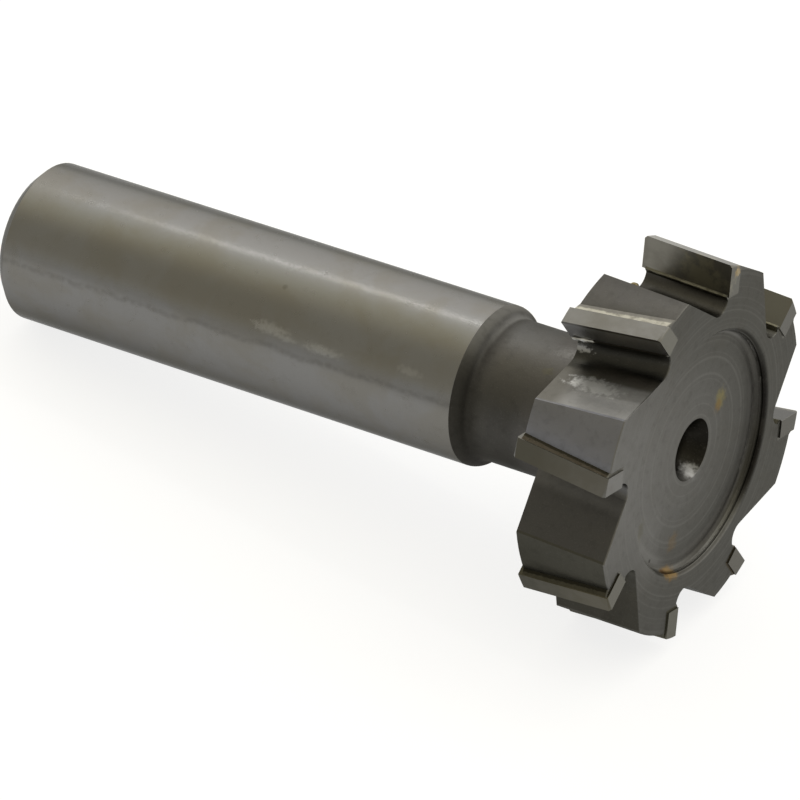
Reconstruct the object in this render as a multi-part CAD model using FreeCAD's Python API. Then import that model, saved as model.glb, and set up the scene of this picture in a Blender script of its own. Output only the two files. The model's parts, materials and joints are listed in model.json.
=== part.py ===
import FreeCAD, Part
import math
import os
from FreeCAD import Placement, Rotation, Vector

# T-slot milling cutter with brazed carbide tips.
# The steel body is turned from one bar: plain shank, thinner neck and a wide flat head.
# Eight gullets are milled across the head, leaning to one side and the other by turns, and
# each tooth has a pocket that holds a carbide tip on a thin layer of brazing filler.
# The cutter is made with its axis along X, the shank end at x = 0, then laid down as it rests.
# Lengths are in millimetres, angles in degrees.

# Whole cutter
OVERALL_LENGTH = 90.5
CUTTER_DIAMETER = 44.45
CUT_WIDTH = 12.0
TOOTH_COUNT = 8
TOOTH_LEAN = 6.4
FIRST_TOOTH_ANGLE = 157.5
RESTING_TOOTH = 5

# Shank and neck
SHANK_DIAMETER = 19.05
SHANK_LENGTH = 62.8
SHANK_CHAMFER = 1.3
NECK_DIAMETER = 16.7
SHOULDER_ROUND = 1.6
SHOULDER_FILLET = 0.8

# Head, between its two flat faces
HEAD_DIAMETER = 42.6
FRONT_OVERHANG = 0.2
BACK_OVERHANG = 0.5
HEAD_FILLET = 1.2
RECESS_DIAMETER = 28.4
RECESS_DEPTH = 1.3
RECESS_CHAMFER = 0.35
RECESS_FILLET = 0.8

# Centre holes, 60 degree cones with a drilled pilot
FRONT_HOLE_MOUTH = 7.4
FRONT_HOLE_PILOT = 4.0
FRONT_PILOT_DEPTH = 5.0
REAR_HOLE_MOUTH = 6.3
REAR_HOLE_PILOT = 2.5
REAR_PILOT_DEPTH = 4.0
CENTRE_HALF_ANGLE = 30.0
DRILL_HALF_ANGLE = 59.0

# Gullet in front of each tip, seen along the axis
GULLET_FLOOR_RADIUS = 16.3
GULLET_FILLET = 1.7
TOOTH_BACK_SLOPE = 22.0
WALL_SETBACK = 0.25

# Carbide tip and its filler
TIP_DEPTH = 3.85
TIP_THICKNESS = 2.1
RAKE_ANGLE = 7.0
RELIEF_ANGLE = 9.0
TIP_CORNER_CHAMFER = 0.3
FILLER = 0.25
FILLER_PROUD = 0.12
RAKE_BEAD = 0.25

# Width of the filler's bead on the steel behind each tip, laid by hand and so uneven
LAND_BEADS = (0.45, 1.5, 0.3, 0.3, 0.5, 0.45, 0.4, 0.55)

CUTTER_RADIUS = CUTTER_DIAMETER / 2
HEAD_RADIUS = HEAD_DIAMETER / 2
TIP_FRONT = OVERALL_LENGTH
TIP_BACK = OVERALL_LENGTH - CUT_WIDTH
HEAD_FRONT = TIP_FRONT - FRONT_OVERHANG
HEAD_BACK = TIP_BACK + BACK_OVERHANG
MID_PLANE = (TIP_FRONT + TIP_BACK) / 2
SPARE = 3.0

AXIS_START = Vector(0, 0, 0)
AXIS = Vector(1, 0, 0)


def sine(angle):
    return math.sin(math.radians(angle))


def cosine(angle):
    return math.cos(math.radians(angle))


def tangent(angle):
    return math.tan(math.radians(angle))


def at(x, radius):
    """Point of a turned outline: distance along the axis, distance from it."""
    return Vector(x, radius, 0)


def section_point(out, ahead):
    """Point of a tooth section: distance from the axis, distance ahead of the cutting edge."""
    return Vector(0, out, ahead)


def line(start, end):
    return Part.LineSegment(start, end).toShape()


def arc(start, middle, end):
    return Part.Arc(start, middle, end).toShape()


def polygon_face(points):
    return Part.Face(Part.makePolygon(points + points[:1]))


def turn(edges):
    """Solid of revolution about the cutter's axis from a closed outline."""
    return Part.Face(Part.Wire(edges)).revolve(AXIS_START, AXIS, 360)


def crossing(point, direction, other_point, other_direction):
    """Point where two lines of a tooth section cross."""
    gap = other_point - point
    step = (gap.y * other_direction.z - gap.z * other_direction.y) / (
        direction.y * other_direction.z - direction.z * other_direction.y
    )
    return point + direction * step


def between_on_arc(centre, radius, start_angle, end_angle):
    """Point half way along an arc of a turned outline."""
    middle = (start_angle + end_angle) / 2
    return centre + at(radius * cosine(middle), radius * sine(middle))


def turned_blank():
    """Shank, rounded shoulder, neck and plain disc head with its front recess."""
    shank_radius = SHANK_DIAMETER / 2
    neck_radius = NECK_DIAMETER / 2
    recess_radius = RECESS_DIAMETER / 2
    recess_floor = HEAD_FRONT - RECESS_DEPTH

    round_centre = at(SHANK_LENGTH, shank_radius - SHOULDER_ROUND)
    reach = SHOULDER_ROUND + SHOULDER_FILLET
    rise = neck_radius + SHOULDER_FILLET - round_centre.y
    fillet_centre = at(SHANK_LENGTH + math.sqrt(reach**2 - rise**2), neck_radius + SHOULDER_FILLET)
    turn_angle = math.degrees(math.asin(rise / reach))
    round_end = round_centre + (fillet_centre - round_centre) * (SHOULDER_ROUND / reach)

    head_fillet_centre = at(HEAD_BACK - HEAD_FILLET, neck_radius + HEAD_FILLET)
    recess_fillet_centre = at(recess_floor + RECESS_FILLET, recess_radius - RECESS_FILLET)

    corners = [
        at(0, 0),
        at(0, shank_radius - SHANK_CHAMFER),
        at(SHANK_CHAMFER, shank_radius),
        at(SHANK_LENGTH, shank_radius),
    ]
    edges = [line(a, b) for a, b in zip(corners, corners[1:])]
    edges.append(arc(
        corners[-1],
        between_on_arc(round_centre, SHOULDER_ROUND, turn_angle, 90),
        round_end,
    ))
    neck_start = at(fillet_centre.x, neck_radius)
    edges.append(arc(
        round_end,
        between_on_arc(fillet_centre, SHOULDER_FILLET, 180 + turn_angle, 270),
        neck_start,
    ))
    neck_end = at(head_fillet_centre.x, neck_radius)
    back_face_start = at(HEAD_BACK, head_fillet_centre.y)
    edges.append(line(neck_start, neck_end))
    edges.append(arc(
        neck_end,
        between_on_arc(head_fillet_centre, HEAD_FILLET, 270, 360),
        back_face_start,
    ))
    wall_foot = at(recess_fillet_centre.x, recess_radius)
    corners = [
        back_face_start,
        at(HEAD_BACK, HEAD_RADIUS),
        at(HEAD_FRONT, HEAD_RADIUS),
        at(HEAD_FRONT, recess_radius + RECESS_CHAMFER),
        at(HEAD_FRONT - RECESS_CHAMFER, recess_radius),
        wall_foot,
    ]
    edges += [line(a, b) for a, b in zip(corners, corners[1:])]
    floor_edge = at(recess_floor, recess_fillet_centre.y)
    edges.append(arc(
        wall_foot,
        between_on_arc(recess_fillet_centre, RECESS_FILLET, 90, 180),
        floor_edge,
    ))
    edges.append(line(floor_edge, at(recess_floor, 0)))
    edges.append(line(at(recess_floor, 0), at(0, 0)))
    return turn(edges)


def centre_hole(face_x, inward, mouth, pilot, pilot_depth):
    """Centre hole bored from a flat end at face_x; inward is +1 or -1 along the axis."""
    cone_end = (mouth - pilot) / 2 / tangent(CENTRE_HALF_ANGLE)
    pilot_end = cone_end + pilot_depth
    point_end = pilot_end + pilot / 2 / tangent(DRILL_HALF_ANGLE)
    corners = [
        at(face_x - inward * SPARE, 0),
        at(face_x - inward * SPARE, mouth / 2),
        at(face_x, mouth / 2),
        at(face_x + inward * cone_end, pilot / 2),
        at(face_x + inward * pilot_end, pilot / 2),
        at(face_x + inward * point_end, 0),
    ]
    return turn([line(a, b) for a, b in zip(corners, corners[1:] + corners[:1])])


# Tooth section: directions and corners that the tip, its pocket and the gullet share.
DOWN_THE_RAKE = section_point(-cosine(RAKE_ANGLE), -sine(RAKE_ANGLE))
INTO_THE_TOOTH = section_point(sine(RAKE_ANGLE), -cosine(RAKE_ANGLE))
DOWN_THE_RELIEF = section_point(-sine(RELIEF_ANGLE), -cosine(RELIEF_ANGLE))

# The edge leans, so its two corners are the furthest from the axis and run on the cutter's radius.
CUTTING_EDGE = section_point(
    math.sqrt(CUTTER_RADIUS**2 - (CUT_WIDTH / 2 * tangent(TOOTH_LEAN)) ** 2), 0)
RAKE_FOOT = CUTTING_EDGE + DOWN_THE_RAKE * TIP_DEPTH
BACK_FOOT = RAKE_FOOT + INTO_THE_TOOTH * TIP_THICKNESS
LAND_HEEL = crossing(BACK_FOOT, DOWN_THE_RAKE, CUTTING_EDGE, DOWN_THE_RELIEF)
POCKET_CORNER = BACK_FOOT + (DOWN_THE_RAKE + INTO_THE_TOOTH) * FILLER
WALL_TOP = RAKE_FOOT + INTO_THE_TOOTH * WALL_SETBACK + DOWN_THE_RAKE * FILLER

# The gullet's floor arc touches the wall under the tip and the slope of the next tooth's back.
UP_THE_SLOPE = section_point(sine(TOOTH_BACK_SLOPE), cosine(TOOTH_BACK_SLOPE))
OUT_OF_THE_SLOPE = section_point(cosine(TOOTH_BACK_SLOPE), -sine(TOOTH_BACK_SLOPE))
FLOOR_CENTRE = crossing(
    WALL_TOP - INTO_THE_TOOTH * GULLET_FILLET, DOWN_THE_RAKE,
    section_point(GULLET_FLOOR_RADIUS + GULLET_FILLET, 0), section_point(0, 1))
WALL_END = FLOOR_CENTRE + INTO_THE_TOOTH * GULLET_FILLET
SLOPE_START = FLOOR_CENTRE - OUT_OF_THE_SLOPE * GULLET_FILLET


def gullet_face():
    """Section of a gullet: wall under the tip, rounded floor, straight slope of the next back."""
    floor_direction = (INTO_THE_TOOTH - OUT_OF_THE_SLOPE).normalize()
    wall_outside = WALL_END - DOWN_THE_RAKE * (CUTTER_RADIUS - GULLET_FLOOR_RADIUS + SPARE)
    slope_outside = SLOPE_START + UP_THE_SLOPE * (
        (CUTTER_RADIUS - SLOPE_START.y + SPARE) / UP_THE_SLOPE.y)
    edges = [
        line(wall_outside, WALL_END),
        arc(WALL_END, FLOOR_CENTRE + floor_direction * GULLET_FILLET, SLOPE_START),
        line(SLOPE_START, slope_outside),
        line(slope_outside, wall_outside),
    ]
    return Part.Face(Part.Wire(edges))


def pocket_face():
    """Section of the notch in the tooth that takes the tip and its filler."""
    ahead = INTO_THE_TOOTH * (TIP_THICKNESS + FILLER + SPARE)
    outward = DOWN_THE_RAKE * (TIP_DEPTH + FILLER + SPARE)
    return polygon_face([
        POCKET_CORNER,
        POCKET_CORNER - ahead,
        POCKET_CORNER - ahead - outward,
        POCKET_CORNER - outward,
    ])


def tip_face():
    """Section of a carbide tip."""
    return polygon_face([CUTTING_EDGE, RAKE_FOOT, BACK_FOOT, LAND_HEEL])


def filler_face(land_bead):
    """Section of the filler: a layer under and behind the tip, with a bead at each open end."""
    bead_on_rake = RAKE_FOOT - DOWN_THE_RAKE * RAKE_BEAD
    proud = RAKE_FOOT - INTO_THE_TOOTH * FILLER_PROUD
    bead_on_wall = WALL_TOP + DOWN_THE_RAKE * RAKE_BEAD
    land = crossing(
        POCKET_CORNER, DOWN_THE_RAKE,
        section_point(HEAD_RADIUS, 0), DOWN_THE_RELIEF)
    bead_on_land = land + DOWN_THE_RELIEF * land_bead
    bead_on_tip = LAND_HEEL + DOWN_THE_RAKE * FILLER_PROUD
    inside_the_tooth = DOWN_THE_RAKE * SPARE / 4
    return polygon_face([
        bead_on_rake,
        proud,
        bead_on_wall,
        WALL_TOP,
        POCKET_CORNER,
        land + inside_the_tooth,
        bead_on_land + inside_the_tooth,
        bead_on_land,
        bead_on_tip,
        BACK_FOOT,
        RAKE_FOOT,
    ])


def across_tooth(face, number):
    """Bar of the given section that runs across the head along one leaning tooth."""
    length = CUT_WIDTH + 2 * SPARE
    bar = face.translated(AXIS * (-length / 2)).extrude(AXIS * length)
    lean = TOOTH_LEAN if number % 2 else -TOOTH_LEAN
    leaning = Placement(AXIS * MID_PLANE, Rotation(Vector(0, 1, 0), -lean))
    around = Placement(AXIS_START, Rotation(AXIS, tooth_angle(number) - 90))
    return bar.transformed(around.multiply(leaning).toMatrix())


def tooth_angle(number):
    """Angle of a tooth's edge at the mid plane, from straight down towards +Y."""
    angle = FIRST_TOOTH_ANGLE + (number - 1) * 360 / TOOTH_COUNT
    return (angle + 180) % 360 - 180


def slice_of_axis(start, end):
    """Plain disc, wider than the cutter, between two places along the axis."""
    return Part.makeCylinder(CUTTER_RADIUS + SPARE, end - start, at(start, 0), AXIS)


def ground_envelope():
    """Space inside the ground side faces and the small chamfers on the cutting corners."""
    corner = CUTTER_RADIUS - TIP_CORNER_CHAMFER
    corners = [
        at(TIP_BACK, 0),
        at(TIP_BACK, corner),
        at(TIP_BACK + 1, corner + 1),
        at(TIP_FRONT - 1, corner + 1),
        at(TIP_FRONT, corner),
        at(TIP_FRONT, 0),
    ]
    return turn([line(a, b) for a, b in zip(corners, corners[1:] + corners[:1])])


def make_body():
    """Steel body with its gullets, tip pockets and centre holes."""
    cuts = [
        centre_hole(HEAD_FRONT - RECESS_DEPTH, -1, FRONT_HOLE_MOUTH, FRONT_HOLE_PILOT,
                    FRONT_PILOT_DEPTH),
        centre_hole(0, 1, REAR_HOLE_MOUTH, REAR_HOLE_PILOT, REAR_PILOT_DEPTH),
    ]
    for number in range(1, TOOTH_COUNT + 1):
        cuts.append(across_tooth(gullet_face(), number))
        cuts.append(across_tooth(pocket_face(), number))
    return turned_blank().cut(cuts)


def make_tip(number):
    """One carbide tip."""
    return across_tooth(tip_face(), number).common(ground_envelope())


def make_seam(number, body):
    """Filler of one tip, as wide as the steel and fitted against it."""
    bar = across_tooth(filler_face(LAND_BEADS[number - 1]), number)
    return bar.common(slice_of_axis(HEAD_BACK, HEAD_FRONT)).cut(body)


def rear_cutting_corner():
    """Rear corner of a cutting edge, in the frame of its own tooth."""
    x = TIP_BACK + TIP_CORNER_CHAMFER
    return Vector(x, CUTTING_EDGE.y, (x - MID_PLANE) * tangent(TOOTH_LEAN))


def rear_heel_corner():
    """Rear corner of the next tooth's heel, where the slope leaves the head's outside."""
    x = HEAD_BACK
    start = section_point(
        SLOPE_START.y, SLOPE_START.z / cosine(TOOTH_LEAN) + (x - MID_PLANE) * tangent(TOOTH_LEAN))
    along = section_point(UP_THE_SLOPE.y, UP_THE_SLOPE.z / cosine(TOOTH_LEAN))
    half_turn = start.dot(along) / along.dot(along)
    step = -half_turn + math.sqrt(
        half_turn**2 - (start.dot(start) - HEAD_RADIUS**2) / along.dot(along))
    return start + along * step + AXIS * x


def lying_angles():
    """Direction of the floor around the axis and rise of the axis towards the head.

    The cutter lies across the gullet of its resting tooth, on three points: the rim of the
    shank, the rear corner of that tooth's edge and the rear heel corner of the tooth ahead.
    """
    shank_radius = SHANK_DIAMETER / 2
    across = 0
    along = 0
    weights = 0
    for sign, corner in ((1, rear_cutting_corner()), (-1, rear_heel_corner())):
        weight = sign / (corner.x - SHANK_CHAMFER)
        angle = tooth_angle(RESTING_TOOTH) + math.degrees(math.atan2(corner.z, corner.y))
        radius = math.hypot(corner.y, corner.z)
        along += weight * radius * cosine(angle)
        across += weight * radius * sine(angle)
        weights += weight
    middle = math.degrees(math.atan2(across, along))
    spread = math.degrees(math.acos(weights * shank_radius / math.hypot(across, along)))
    floor_angle = min((middle - spread, middle + spread), key=abs)

    corner = rear_cutting_corner()
    angle = tooth_angle(RESTING_TOOTH) + math.degrees(math.atan2(corner.z, corner.y))
    drop = math.hypot(corner.y, corner.z) * cosine(angle - floor_angle) - shank_radius
    rise = math.degrees(math.atan2(drop, corner.x - SHANK_CHAMFER))
    return floor_angle, rise


def lying_placement(pieces):
    """Placement that lays the cutter down, with the origin under the middle of its box."""
    floor_angle, rise = lying_angles()
    turned = Rotation(Vector(0, 1, 0), -rise).multiply(Rotation(AXIS, -floor_angle))
    laid = Placement(AXIS_START, turned)
    box = Part.makeCompound(list(pieces.values())).transformed(laid.toMatrix()).optimalBoundingBox()
    shift = Vector(-box.Center.x, -box.Center.y, -box.ZMin)
    return Placement(shift, turned)


def single_solid(shape):
    """The one solid of a shape that a cut or a common returned."""
    if len(shape.Solids) != 1:
        raise ValueError("expected one solid, found %d" % len(shape.Solids))
    return shape.Solids[0]


def cutter_pieces():
    """Every piece by its name, standing along the axis."""
    body = single_solid(make_body())
    pieces = {"cutter_body": body}
    for number in range(1, TOOTH_COUNT + 1):
        pieces["carbide_tip_%d" % number] = single_solid(make_tip(number))
        pieces["braze_seam_%d" % number] = single_solid(make_seam(number, body))
    return pieces


def main():
    os.makedirs("parts", exist_ok=True)
    pieces = cutter_pieces()
    lying = lying_placement(pieces)
    for name, piece in pieces.items():
        piece.transformed(lying.toMatrix()).exportStep("parts/%s.step" % name)
    print(len(pieces), "pieces; placed", lying)


main()
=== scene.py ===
import json
import logging
import math
from dataclasses import dataclass, field
from enum import Enum
from functools import reduce

import bmesh
import bpy
from mathutils import Matrix, Vector
from mathutils import noise as lattice


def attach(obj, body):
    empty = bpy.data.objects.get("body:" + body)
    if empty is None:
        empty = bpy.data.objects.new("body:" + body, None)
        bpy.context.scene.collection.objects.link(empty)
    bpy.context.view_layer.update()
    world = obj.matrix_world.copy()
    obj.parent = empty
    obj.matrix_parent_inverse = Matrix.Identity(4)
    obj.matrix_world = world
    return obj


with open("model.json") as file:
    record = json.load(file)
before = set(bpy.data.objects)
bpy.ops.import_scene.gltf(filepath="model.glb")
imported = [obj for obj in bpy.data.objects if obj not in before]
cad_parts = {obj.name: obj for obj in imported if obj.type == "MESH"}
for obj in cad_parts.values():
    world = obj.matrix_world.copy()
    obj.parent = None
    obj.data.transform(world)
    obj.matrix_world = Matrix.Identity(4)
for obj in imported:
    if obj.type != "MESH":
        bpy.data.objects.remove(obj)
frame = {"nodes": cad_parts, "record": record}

LOG = logging.getLogger("t_slot_cutter")
MM = 0.001

Colour = tuple[float, float, float]
Place = tuple[float, float, float]
Limits = tuple[float, float]
Socket = bpy.types.NodeSocket


class Slot(Enum):
    """Material slots of the record."""

    STEEL = "body_steel"
    CARBIDE = "tip_carbide"
    FILLER = "braze_filler"


class Lean(Enum):
    """Way that a tooth leans across the head, as the sign of its turn about the radius."""

    ODD = 1
    EVEN = -1


@dataclass(frozen=True)
class CutterSizes:
    """Sizes that the looks need, in millimetres, with x measured from the shank's end."""

    tooth_count: int = 8
    shank_end: float = 62.8
    neck_end: float = 78.9
    head_back: float = 79.0
    head_front: float = 90.3
    tip_back: float = 78.5
    tip_front: float = 90.5
    cutter_radius: float = 22.225
    edge_tolerance: float = 0.03
    recess_radius: float = 14.2
    recess_floor: float = 89.0
    lean: float = math.radians(6.4)

    @property
    def mid_plane(self) -> float:
        """Place of the middle of the cut along the axis."""
        return (self.tip_back + self.tip_front) / 2


SIZES = CutterSizes()


@dataclass(frozen=True)
class ToolFrame:
    """Where the cutter lies: its axis starts at the shank's end and rises towards the head."""

    start: Vector
    along: Vector
    out: Vector

    @classmethod
    def from_frame(cls) -> "ToolFrame":
        """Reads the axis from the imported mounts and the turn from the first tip's edge.

        Returns:
            The frame of the cutter, with its second axis through the first tip's edge.
        """
        mounts = {mount["name"]: mount for mount in frame["record"]["mounts"]}
        start = Vector(mounts["rear_centre"]["pos_m"])
        along = Vector(mounts["front_centre"]["axis"]).normalized()
        corners = []
        for vertex in frame["nodes"]["carbide_tip_1"].data.vertices:
            offset = vertex.co - start
            across = offset - along * offset.dot(along)
            if across.length > (SIZES.cutter_radius - SIZES.edge_tolerance) * MM:
                corners.append(across)
        edge = sum(corners, Vector()) / len(corners)
        return cls(start=start, along=along, out=edge.normalized())

    def matrix(self) -> Matrix:
        """Place and turn of the cutter.

        Returns:
            A matrix from the cutter's frame, in millimetres, to the row frame, in metres.
        """
        ahead = self.along.cross(self.out)
        turn = Matrix((self.along, self.out, ahead)).transposed().to_4x4()
        return Matrix.Translation(self.start) @ turn @ Matrix.Scale(MM, 4)

    def tooth(self, number: int) -> Matrix:
        """Frame of one tooth in millimetres.

        Args:
            number: The tooth's number, counted the way the tips face.

        Returns:
            A matrix from (along the lean, out from the axis, ahead of the edge) to the row frame.
        """
        turn = Matrix.Rotation((number - 1) * math.tau / SIZES.tooth_count, 4, "X")
        lean = Lean.ODD if number % 2 else Lean.EVEN
        middle = Matrix.Translation((SIZES.mid_plane, 0, 0))
        leaning = middle @ Matrix.Rotation(-lean.value * SIZES.lean, 4, "Y")
        return self.matrix() @ turn @ leaning


class Graph:
    """Short names for the nodes that the finishes are made of."""

    def __init__(self, tree: bpy.types.NodeTree) -> None:
        """Starts on an empty node tree."""
        self.tree = tree
        tree.nodes.clear()

    def feed(self, socket: Socket, value: object) -> None:
        """Links an input to another node's output, or sets its constant.

        Args:
            socket: The input.
            value: The output or the constant.
        """
        if isinstance(value, bpy.types.NodeSocket):
            self.tree.links.new(value, socket)
        else:
            socket.default_value = value

    def node(self, kind: str, inputs: dict[str | int, object], **settings: object) -> bpy.types.Node:
        """Adds a node, sets it and feeds its inputs.

        Args:
            kind: The node's type, without the word that all types start with.
            inputs: What goes into its inputs, by their names or numbers.
            settings: The node's own settings.

        Returns:
            The node.
        """
        node = self.tree.nodes.new("ShaderNode" + kind)
        for name, value in settings.items():
            setattr(node, name, value)
        for key, value in inputs.items():
            self.feed(node.inputs[key], value)
        return node

    def math(self, operation: str, *values: object, clamp: bool = False) -> Socket:
        """Result of a sum on sockets and numbers."""
        return self.node("Math", dict(enumerate(values)), operation=operation, use_clamp=clamp).outputs[0]

    def product(self, *values: object) -> Socket:
        """Product of two or more sockets or numbers."""
        return reduce(lambda result, value: self.math("MULTIPLY", result, value), values)

    def total(self, *values: object) -> Socket:
        """Sum of two or more sockets or numbers."""
        return reduce(lambda result, value: self.math("ADD", result, value), values)

    def step(self, value: object, low: float, high: float) -> Socket:
        """Smooth step from 0 at low to 1 at high; low may be the larger.

        Args:
            value: What is stepped.
            low: Where the step is 0.
            high: Where the step is 1.

        Returns:
            The stepped value.
        """
        first, last = (1.0, 0.0) if low > high else (0.0, 1.0)
        inputs = {"Value": value, "From Min": min(low, high), "From Max": max(low, high),
                  "To Min": first, "To Max": last}
        return self.node("MapRange", inputs, interpolation_type="SMOOTHSTEP").outputs["Result"]

    def spread(self, value: object, low: float, high: float) -> Socket:
        """Spreads a value from 0..1 to low..high."""
        return self.node("MapRange", {"Value": value, "To Min": low, "To Max": high}).outputs["Result"]

    def noise(self, vector: Socket, scale: float, detail: float = 3.0, rough: float = 0.5,
              bend: float = 0.0) -> Socket:
        """Noise in the middle of 0..1, at so many lumps to a millimetre."""
        inputs = {"Vector": vector, "Scale": scale, "Detail": detail, "Roughness": rough, "Distortion": bend}
        return self.node("TexNoise", inputs).outputs["Fac"]

    def stretched(self, vector: Socket, factors: Place, shift: Place = (0, 0, 0)) -> Socket:
        """The same place with each axis stretched, for a pattern drawn out one way."""
        return self.node("Mapping", {"Vector": vector, "Scale": factors, "Location": shift}).outputs["Vector"]

    def apart(self, vector: Socket) -> list[Socket]:
        """The three parts of a vector."""
        return list(self.node("SeparateXYZ", {0: vector}).outputs)

    def combined(self, *parts: Socket) -> Socket:
        """Vector of one to three parts."""
        return self.node("CombineXYZ", dict(enumerate(parts))).outputs[0]

    def length(self, vector: Socket) -> Socket:
        """Length of a vector."""
        return self.node("VectorMath", {0: vector}, operation="LENGTH").outputs["Value"]

    def blend(self, share: Socket, first: Socket, second: Socket) -> Socket:
        """Mix of two numbers."""
        return self.node("Mix", {0: share, 2: first, 3: second}, data_type="FLOAT").outputs[0]

    def mix(self, share: object, first: object, second: object) -> Socket:
        """Mix of two colours."""
        pair = [(*tone, 1.0) if isinstance(tone, tuple) else tone for tone in (first, second)]
        return self.node("Mix", {0: share, 6: pair[0], 7: pair[1]}, data_type="RGBA").outputs[2]

    def ramp(self, share: Socket, stops: tuple[tuple[float, Colour], ...]) -> Socket:
        """Colour read off a row of stops.

        Args:
            share: Where to read, from 0 to 1.
            stops: Place and colour of each stop.

        Returns:
            The colour.
        """
        node = self.node("ValToRGB", {"Fac": share})
        bar = node.color_ramp
        while len(bar.elements) < len(stops):
            bar.elements.new(1.0)
        for element, (place, colour) in zip(bar.elements, stops):
            element.position = place
            element.color = (*colour, 1.0)
        return node.outputs["Color"]

    def bump(self, height: Socket, depth: float) -> Socket:
        """Bump of so many millimetres."""
        inputs = {"Height": height, "Strength": 1.0, "Distance": depth * MM}
        return self.node("Bump", inputs).outputs["Normal"]

    def metal(self, colour: Socket, roughness: Socket, normal: Socket,
              tint: Colour = (1.0, 1.0, 1.0)) -> None:
        """Ends a finish of bare metal.

        Args:
            colour: Colour of the metal.
            roughness: How dull it is.
            normal: Its bump.
            tint: Colour of the metal at a grazing angle.
        """
        shader = self.node("BsdfPrincipled", {
            "Base Color": colour, "Metallic": 1.0, "Specular Tint": (*tint, 1.0),
            "Roughness": roughness, "Normal": normal})
        self.node("OutputMaterial", {"Surface": shader.outputs[0]})


def start_material(name: str) -> tuple[bpy.types.Material, Graph]:
    """Starts a material.

    Args:
        name: Its name.

    Returns:
        The material and its empty graph.
    """
    material = bpy.data.materials.new(name)
    material.use_nodes = True
    return material, Graph(material.node_tree)


@dataclass(frozen=True)
class Patch:
    """A small mark at one place of the cutter, such as a stain, a scuff or a patch of painted light."""

    place: Place
    reach: float
    colour: Colour
    strength: float = 1.0
    stretch: Place = (1.0, 1.0, 1.0)
    grain: float = 1.2
    raggedness: float = 0.8
    core: float = 0.25


# Half turn, in degrees, of a zone that goes all the way round
ALL_ROUND = 190.0


@dataclass(frozen=True)
class Zone:
    """Part of the body with a tone of painted light or shade, limited along, out from and around the axis."""

    colour: Colour
    along: Limits
    radius: Limits
    angle: float = 0.0
    half_turn: float = ALL_ROUND
    strength: float = 1.0
    edge: float = 0.12
    radius_edge: float = 0.12
    turn_edge: float = 2.0


class Places:
    """Coordinates of a finish, in millimetres of the cutter's own frame."""

    def __init__(self, graph: Graph, tool: ToolFrame) -> None:
        """Adds the nodes that turn object coordinates into the cutter's frame.

        Args:
            graph: The finish's nodes.
            tool: Where the cutter lies.
        """
        self.graph = graph
        location, turn, _ = tool.matrix().decompose()
        inputs = {"Vector": graph.node("TexCoord", {}).outputs["Object"], "Location": location,
                  "Rotation": turn.to_euler(), "Scale": (MM, MM, MM)}
        self.point = graph.node("Mapping", inputs, vector_type="TEXTURE").outputs["Vector"]
        self.x, self.y, self.z = graph.apart(self.point)
        squares = graph.total(graph.product(self.y, self.y), graph.product(self.z, self.z))
        self.radius = graph.math("SQRT", squares)

    def between(self, value: Socket, limits: Limits, edge: float) -> Socket:
        """1 between two limits of a value, with soft sides."""
        return self.graph.product(self.graph.step(value, limits[0] - edge, limits[0] + edge),
                                  self.graph.step(value, limits[1] + edge, limits[1] - edge))

    def facing(self, angle: float) -> Socket:
        """Cosine of the angle around the axis between each point and the given one, in degrees."""
        turned = self.graph.total(self.graph.product(self.y, math.cos(math.radians(angle))),
                                  self.graph.product(self.z, math.sin(math.radians(angle))))
        return self.graph.math("DIVIDE", turned, self.radius)

    def turning_marks(self) -> Socket:
        """Vector that changes only with the distance from the axis, for noise in rings."""
        return self.graph.combined(self.graph.product(self.radius, 1.3))

    def zone(self, zone: Zone) -> Socket:
        """Share of a zone at each point.

        Args:
            zone: The zone.

        Returns:
            Its share, up to its strength.
        """
        graph = self.graph
        share = graph.product(self.between(self.x, zone.along, zone.edge),
                              self.between(self.radius, zone.radius, zone.radius_edge),
                              zone.strength)
        if zone.half_turn >= ALL_ROUND:
            return share
        limits = [math.cos(math.radians(zone.half_turn + side * zone.turn_edge)) for side in (1, -1)]
        return graph.product(share, graph.step(self.facing(zone.angle), *limits))

    def mark(self, patch: Patch) -> Socket:
        """Share of a patch at each point, ragged at its edge.

        Args:
            patch: The patch.

        Returns:
            Its share, up to its strength.
        """
        graph = self.graph
        shift = tuple(-value * scale for value, scale in zip(patch.place, patch.stretch))
        length = graph.length(graph.stretched(self.point, patch.stretch, shift))
        ragged = graph.noise(self.point, patch.grain, detail=4.0, rough=0.6)
        offset = graph.product(graph.math("SUBTRACT", ragged, 0.5), 2 * patch.raggedness * patch.reach)
        share = graph.step(graph.total(length, offset), patch.reach, patch.core * patch.reach)
        return graph.product(share, patch.strength)

    def painted(self, colour: Socket, layers: tuple[Patch | Zone, ...]) -> Socket:
        """Paints patches or zones over a colour, in order.

        Args:
            colour: The colour below them.
            layers: The patches or zones.

        Returns:
            The painted colour.
        """
        for layer in layers:
            share = self.mark(layer) if isinstance(layer, Patch) else self.zone(layer)
            colour = self.graph.mix(share, colour, layer.colour)
        return colour


@dataclass(frozen=True)
class ToothLightAndShade:
    """Painted light and shade on the steel around one tooth: its back, the slope ahead of its tip and the
    deep part.
    """

    land: Colour
    slope: Colour
    deep: Colour

    def zones(self, edge: float) -> tuple[Zone, ...]:
        """Zones of the tooth.

        Args:
            edge: Angle of its cutting edge around the axis, in degrees.

        Returns:
            The zones of its back, its slope, its gullet's floor and its rake wall.
        """
        head = (SIZES.head_back, SIZES.head_front)
        return (
            Zone(self.land, head, (21.1, 30.0), edge - 14.0, 12.0, 1.0, 0.05, 0.05),
            Zone(self.slope, head, (17.2, 21.2), edge + 16.0, 14.0, 1.0, 0.05, 0.10),
            Zone(self.deep, head, (15.5, 17.5), edge + 8.0, 20.0, 1.0, 0.05, 0.35),
            Zone(self.deep, head, (15.5, 18.7), edge, 7.0, 1.0, 0.05, 0.15),
        )


# Painted light and shade on the back, the slope and the gullet of each tooth, in the teeth's order
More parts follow.
